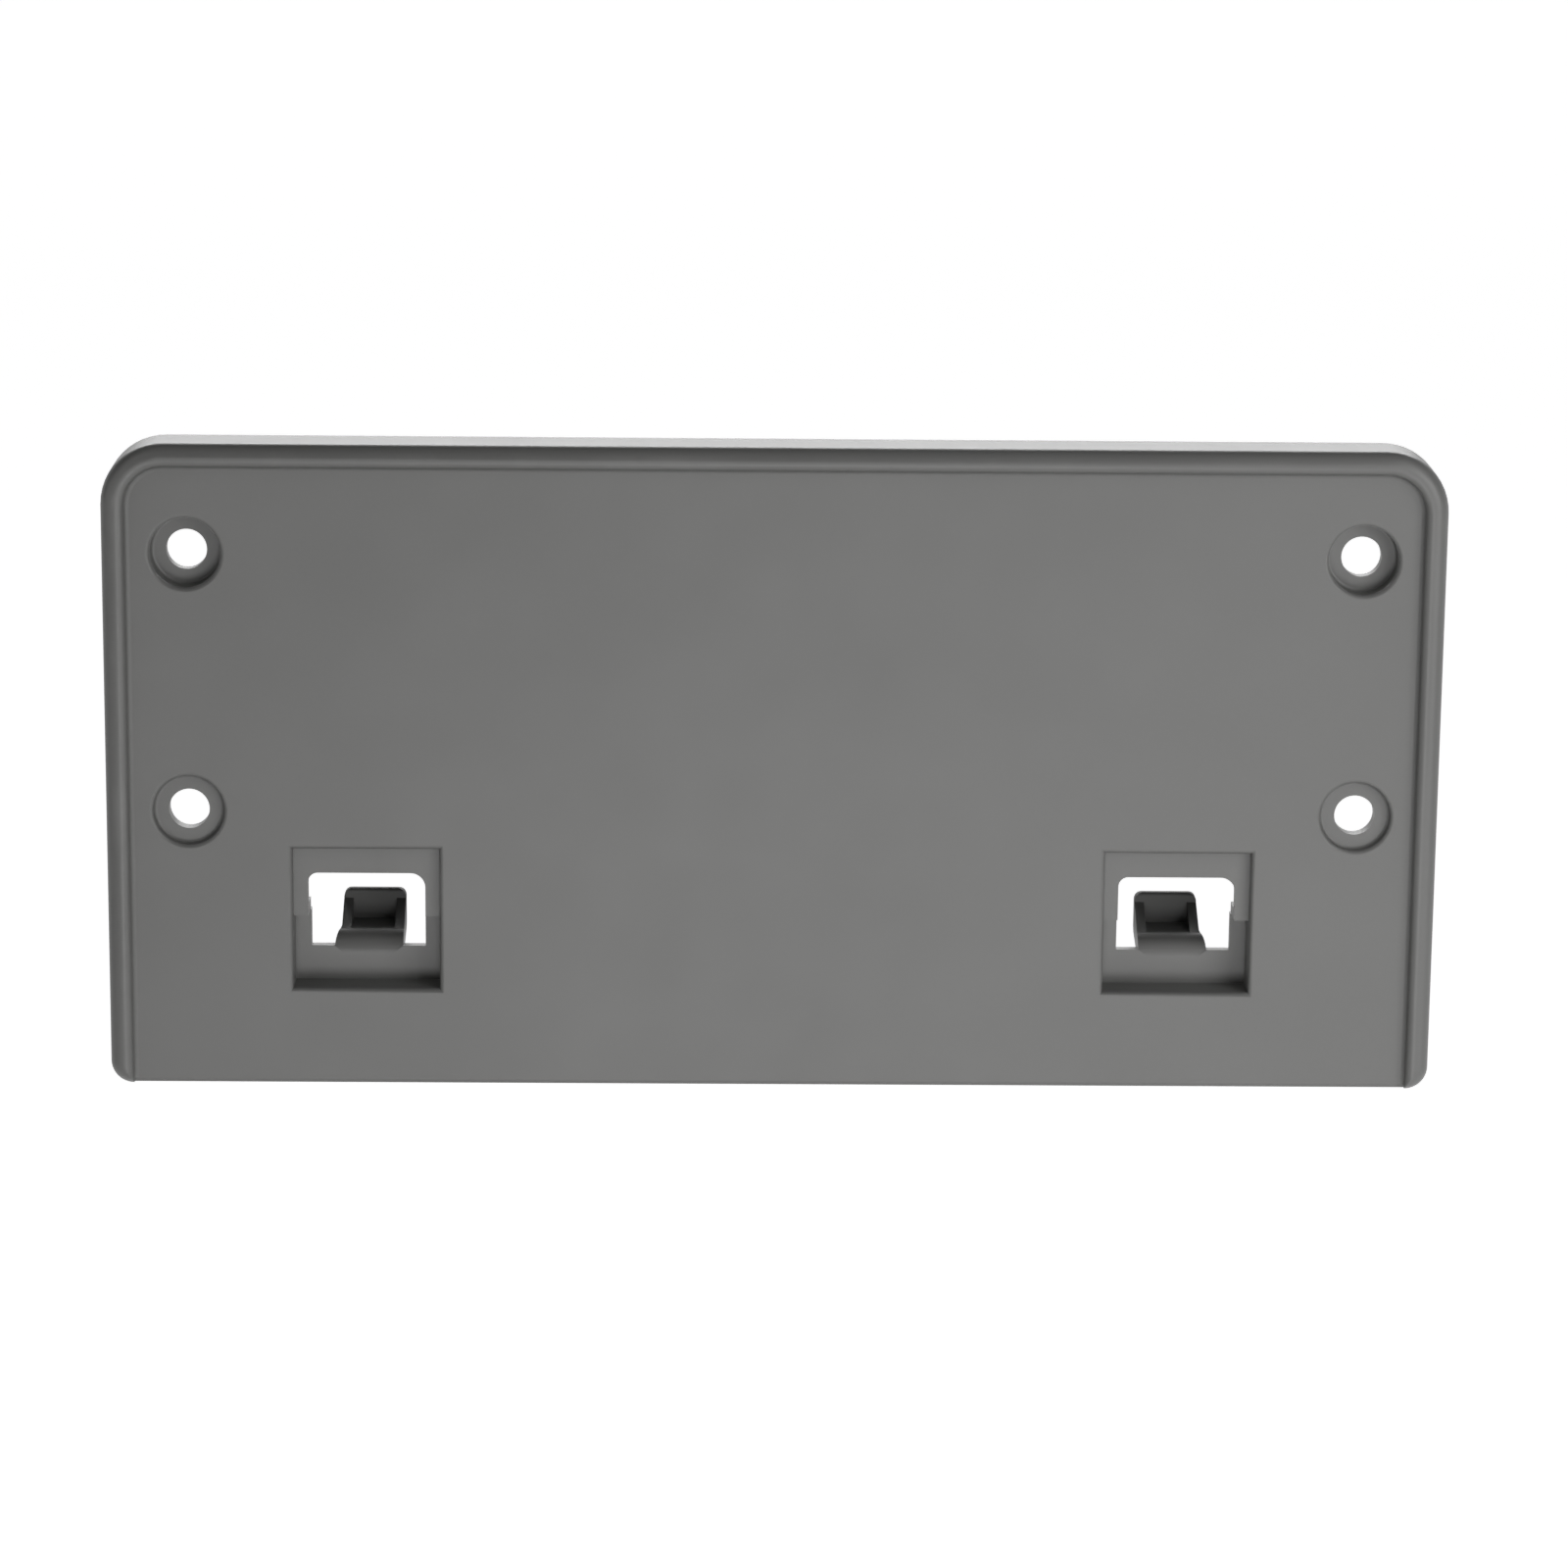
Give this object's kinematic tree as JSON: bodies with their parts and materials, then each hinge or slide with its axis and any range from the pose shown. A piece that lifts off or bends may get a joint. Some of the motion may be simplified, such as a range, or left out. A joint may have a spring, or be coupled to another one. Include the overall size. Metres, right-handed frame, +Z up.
{
  "type": "number plate holder",
  "caption": "Shallow moulded tray that holds a vehicle number plate, with a raised rim, an open lower edge, recessed screw holes and windowed pockets with hooks behind.",
  "frame": {"origin": "centre of the rectangle of screw holes, on the plane of the screw seats at the bottom of the upper recesses", "axes": "+X across the holder to the viewer's right, +Z up, and the side that takes the plate faces -Y, so that +Y points to the bumper"},
  "size_m": [0.3224, 0.03, 0.1585],
  "materials": {
    "moulded_plastic": "fine moulded grain, satin"
  },
  "bodies": {
    "root": {"plate_holder": "moulded_plastic"}
  },
  "joints": []
}
